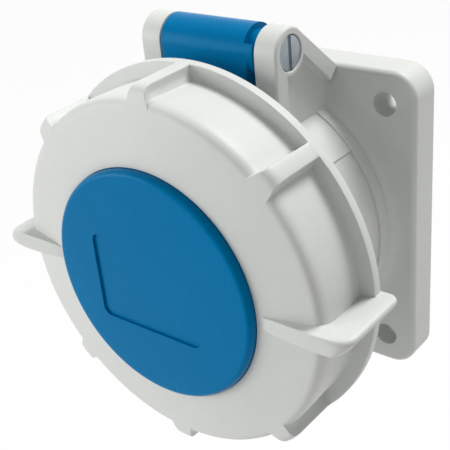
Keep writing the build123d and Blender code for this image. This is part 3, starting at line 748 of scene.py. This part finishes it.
def ear_side():
    """Side view of an ear as (depth, height), and where its round top meets the brace."""
    foot = (flange_front_y, 37.3)
    to_foot = (foot[0] - hinge_y, foot[1] - hinge_z)
    tangent = atan2(to_foot[1], to_foot[0]) + acos(ear_radius / hypot(*to_foot))
    points = [(hinge_y - ear_radius, ear_foot_z)]
    steps = 20
    for step in range(steps + 1):
        angle = pi + (tangent - pi) * step / steps
        points.append((hinge_y + ear_radius * cos(angle), hinge_z + ear_radius * sin(angle)))
    top = points[-1]
    points += [foot, (-8.1, 36.7), (-8.1, ear_foot_z)]
    return points, top, foot


def make_ear():
    """The right ear: a flat web with a raised front rim, a boss round the pin and a slanting brace."""
    side, top, foot = ear_side()
    ear = slab("ear", [(ear_inner_x, y, z) for y, z in side], (ear_outer_x - ear_inner_x, 0, 0))

    def free(middle):
        return middle.y < -8.8 and middle.z > ear_foot_z + 0.1

    round_edges(ear, lambda middle, edge: near(middle.x, ear_outer_x) and free(middle), 0.6, 3)
    round_edges(ear, lambda middle, edge: near(middle.x, ear_inner_x) and free(middle), 0.3, 2)

    # The hollow beside the web leaves the front rim, the boss and the brace standing
    rim_y, brace_width = -27.2, 3.65
    length = hypot(foot[0] - top[0], foot[1] - top[1])
    along = ((foot[0] - top[0]) / length, (foot[1] - top[1]) / length)
    down = (along[1] * brace_width, -along[0] * brace_width)
    hollow = slab("ear_hollow", [(ear_web_x, y, z) for y, z in [
        (rim_y, 23.0), (rim_y, top[1] + down[1]), (top[0] + down[0], top[1] + down[1]),
        (foot[0] + down[0], foot[1] + down[1]), (foot[0] + 0.2, foot[1] - 0.2), (-7.4, foot[1] - 0.2),
        (-7.4, 23.0)
    ]], (5, 0, 0))
    cut(hollow, hinge_bar("boss", 4.8, ear_web_x + 2, 12, 64))
    round_edges(hollow, lambda middle, edge: near(middle.x, ear_web_x) and sharp(edge), 0.5, 3)
    cut(ear, hollow)
    cut(ear, hinge_bar("pin_hole", pin_bore_radius, 15, 12))
    cut(ear, hinge_bar("head_pocket", 3.88, ear_outer_x + 0.6, 5.0, 72))

    def rim_edge(middle, edge):
        return near(middle.x, ear_outer_x) and sharp(edge) and free(middle)

    round_edges(ear, rim_edge, 0.25, 2)
    return ear


def make_housing():
    """The grey housing, all one moulding."""
    housing = make_flange()
    combine(housing, make_collar())
    cut(housing, plug("bore", [
        (0, 1), (31.4, 1), (31.4, -1.8), (32.3, -1.8), (32.3, -3.4), (31.4, -3.4), (31.4, -8.0),
        (29.0, -8.0), (29.0, -46.6), (29.4, -47.0), (30.0, -47.6), (0, -47.6)
    ], 192))
    cut(housing, turned("gasket_groove", [(33.8, -2.0), (36.0, -2.0), (36.0, 1.0), (33.8, 1.0)], 144))
    cut(housing, slab(
        "keyway", [(-3, -8.0, -30.2), (3, -8.0, -30.2), (3, -8.0, -26.0), (-3, -8.0, -26.0)], (0, -42, 0)
    ))
    ear = make_ear()
    combine(housing, other_side(ear, "left_ear"))
    combine(housing, ear)
    hole_place, hole_radius = 30, 2.75
    for x in (-hole_place, hole_place):
        for z in (-hole_place, hole_place):
            cut(housing, bar("fixing_hole", hole_radius, (x, -4, z), (0, 1, 0), 14))

    def hole_edge(middle, edge):
        reach = hypot(abs(middle.x) - hole_place, abs(middle.z) - hole_place)
        return near(middle.y, flange_front_y) and hole_radius - 0.15 < reach < hole_radius + 0.05

    round_edges(housing, hole_edge, 0.25, 2)
    finish_piece(housing, "housing", grey_plastic, "flange_housing", smooth=32)


def make_pin():
    """The steel hinge pin with its slotted head."""
    seat_x = ear_outer_x - 1.9
    head_length = 1.6
    pin = hinge_bar("hinge_pin_turned", 2.0, -0.65, 2 * seat_x + 0.7)
    head = hinge_bar("pin_head", 3.7, seat_x + head_length / 2, head_length, 72)
    round_edges(head, lambda middle, edge: middle.x > seat_x + head_length - 0.1 and sharp(edge), 0.18, 2)
    combine(pin, head)
    cut(pin, block("slot", (1.6, 1.15, 12), (seat_x + 1.9, hinge_y, hinge_z)))
    finish_piece(pin, "housing", pin_finish, "hinge_pin", smooth=35)


make_ring()
make_cap()
make_lid()
make_housing()
make_pin()

# The CAD nodes that stay get their finishes

finishes = {
    "grey_plastic": grey_plastic, "blue_plastic": blue_plastic, "insert_plastic": insert_plastic,
    "seal_rubber": rubber_finish, "contact_brass": brass_finish, "spring_steel": spring_finish,
    "zinc_steel": screw_finish, "pin_steel": pin_finish
}
for part in frame["record"]["subparts"]:
    node = frame["nodes"][part["node"]]
    node.data.materials.clear()
    node.data.materials.append(finishes[part["material_slot"]])


# Stage: floor, light and camera

def seen_directly(paint):
    """1 on light paths that come from the camera, a mirror or glass, and 0 on all others."""
    camera, mirror, glass = [
        paint.node("ShaderNodeLightPath", output=f"Is {kind} Ray")
        for kind in ("Camera", "Glossy", "Transmission")
    ]
    return camera.larger(mirror).larger(glass)


def make_floor():
    """A wide pale floor below the part. It shows nearly white, and keeps a faint shadow."""
    put_down()
    bpy.ops.mesh.primitive_plane_add(size=8, location=(0, 0, -0.2))
    floor = bpy.context.object
    floor.name = "studio_floor"
    paint = Paint(bpy.data.materials.new("studio_white"))
    pale = paint.surface(Base_Color=linear(225, 225, 225), Roughness=0.9)
    glow = paint.node("ShaderNodeEmission", None, {"Color": WHITE})
    glow_share = seen_directly(paint) * 0.94
    floor.data.materials.append(paint.close(paint.mixed(glow_share, pale, glow)))


def area_light(name, place, size, power):
    """A soft square light that points at the part."""
    target = Vector((0, -0.03, 0))
    light = bpy.data.lights.new(name, "AREA")
    light.shape = "SQUARE"
    light.size = size
    light.energy = power
    lamp = bpy.data.objects.new(name, light)
    bpy.context.scene.collection.objects.link(lamp)
    lamp.location = place
    lamp.rotation_euler = (target - Vector(place)).to_track_quat("-Z", "Y").to_euler()


def studio_world():
    """An even white world: full white where it is seen, and a soft even light on the part."""
    paint = Paint(bpy.data.worlds.new("studio"))
    lighting, seen = [
        paint.node("ShaderNodeBackground", None, {"Color": WHITE, "Strength": strength})
        for strength in (0.4, 1.0)
    ]
    bpy.context.scene.world = paint.close(
        paint.mixed(seen_directly(paint), lighting, seen), "ShaderNodeOutputWorld"
    )


def make_camera():
    """The camera at the photograph's angle and distance."""
    azimuth, elevation, roll = radians(39.669), radians(27.926), radians(-5.194)
    target, distance = Vector((0, -0.02442, 0)), 0.2174
    picture, focal, middle_x, middle_y = 450, 914.803, 241.062, 225.446  # in the picture's pixels
    sensor = 36  # its width in millimetres
    away = Vector((sin(azimuth) * cos(elevation), -cos(azimuth) * cos(elevation), sin(elevation)))
    camera = bpy.data.objects.new("camera", bpy.data.cameras.new("camera"))
    bpy.context.scene.collection.objects.link(camera)
    bpy.context.scene.camera = camera
    camera.location = target + distance * away
    aim = (-away).to_track_quat("-Z", "Y").to_matrix()
    camera.rotation_euler = (aim @ Matrix.Rotation(roll, 3, "Z")).to_euler()
    camera.data.sensor_width = sensor
    camera.data.lens = sensor * focal / picture
    camera.data.shift_x = -(middle_x - picture / 2) / picture
    camera.data.shift_y = (middle_y - picture / 2) / picture
    camera.data.clip_start = 0.01


make_floor()
studio_world()
area_light("side_light", (-0.66, -0.68, 0.16), size=0.5, power=5.5)
area_light("top_light", (0.16, 0.39, 0.79), size=0.36, power=8.1)
make_camera()
bpy.context.scene.view_settings.view_transform = "Standard"
